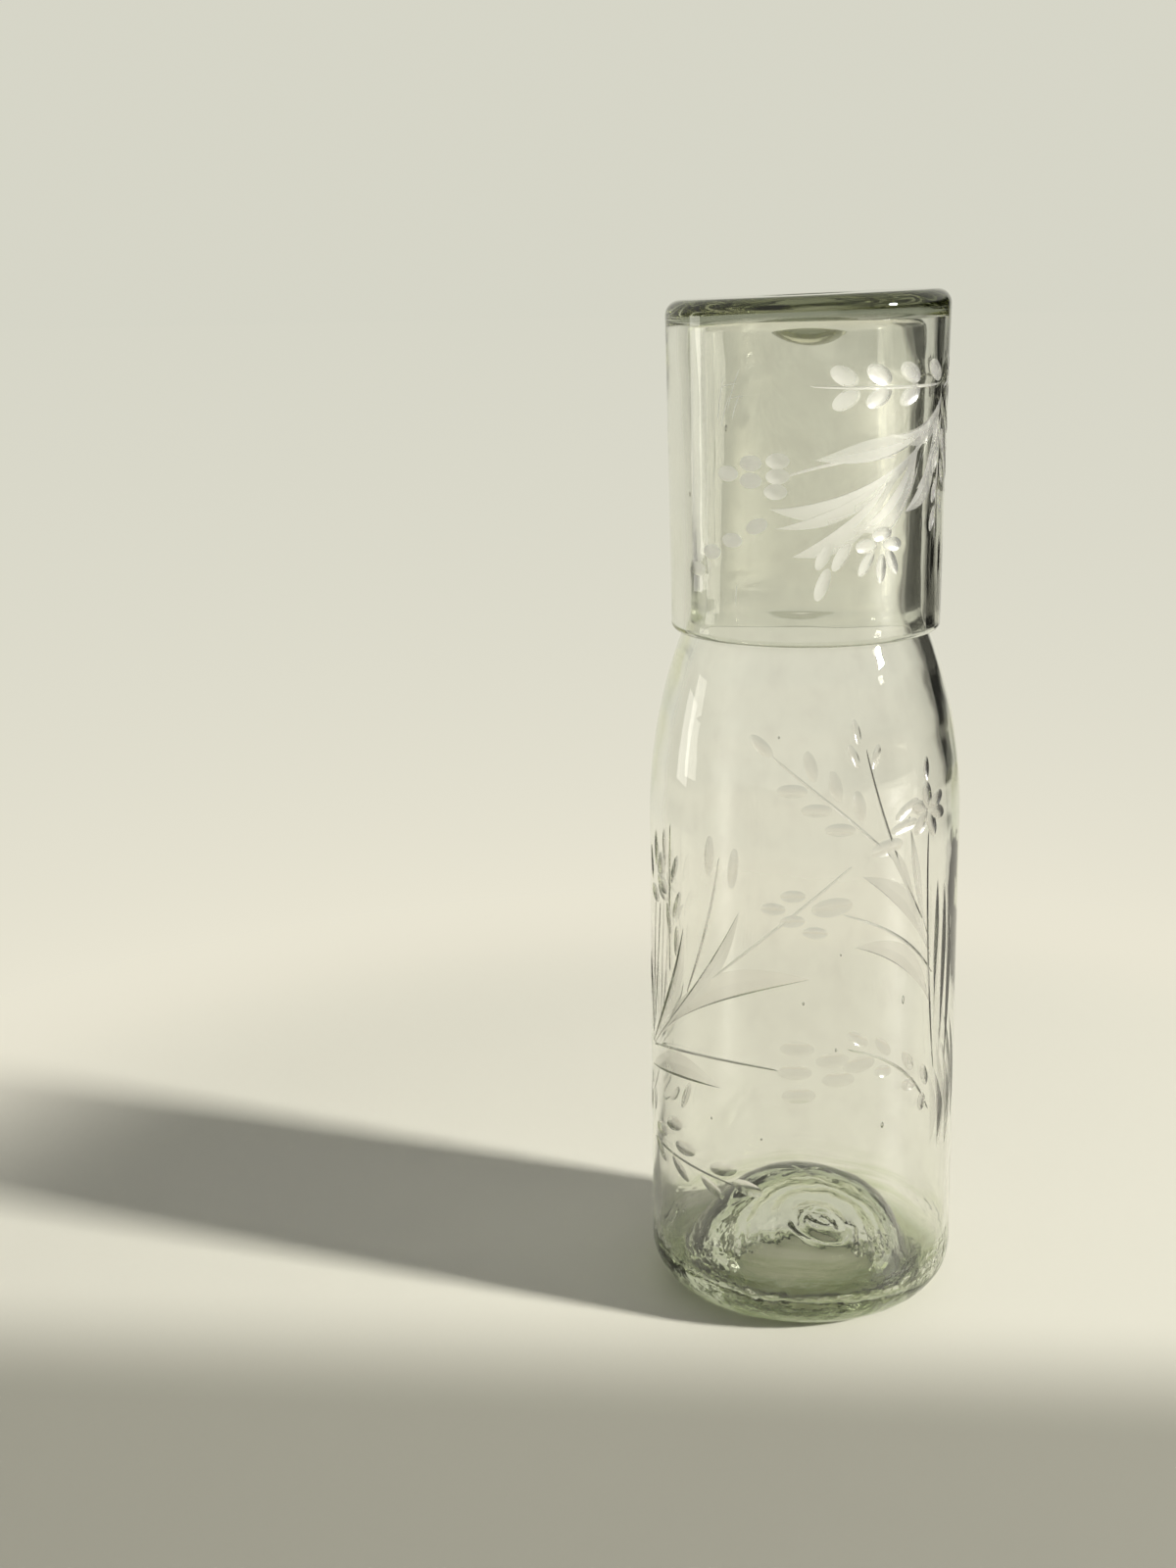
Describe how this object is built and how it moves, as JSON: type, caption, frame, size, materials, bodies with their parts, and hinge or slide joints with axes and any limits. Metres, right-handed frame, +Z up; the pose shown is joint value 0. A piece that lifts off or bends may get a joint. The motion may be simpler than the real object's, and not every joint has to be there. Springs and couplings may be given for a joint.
{
  "type": "bedside carafe with tumbler",
  "caption": "Blown glass bedside carafe with a drawn shoulder and straight neck, capped by an upturned tumbler that lifts off and serves as the drinking glass.",
  "frame": {"origin": "centre of the carafe's foot, on the surface it stands on", "axes": "+Z up along the axis that the carafe and the tumbler share, -Y towards the pictured front, +X to its right"},
  "size_m": [0.078, 0.078, 0.2536],
  "materials": {
    "carafe_glass": "clear pale green glass with wheel-cut flowers",
    "tumbler_glass": "clear pale green glass with wheel-cut flowers"
  },
  "bodies": {
    "carafe": {"carafe": "carafe_glass"},
    "tumbler": {"tumbler": "tumbler_glass"}
  },
  "joints": [
    {"name": "tumbler_lift", "type": "slide", "parent": "carafe", "child": "tumbler", "axis": [0, 0, 1], "range_m": [0, 0.1]}
  ]
}
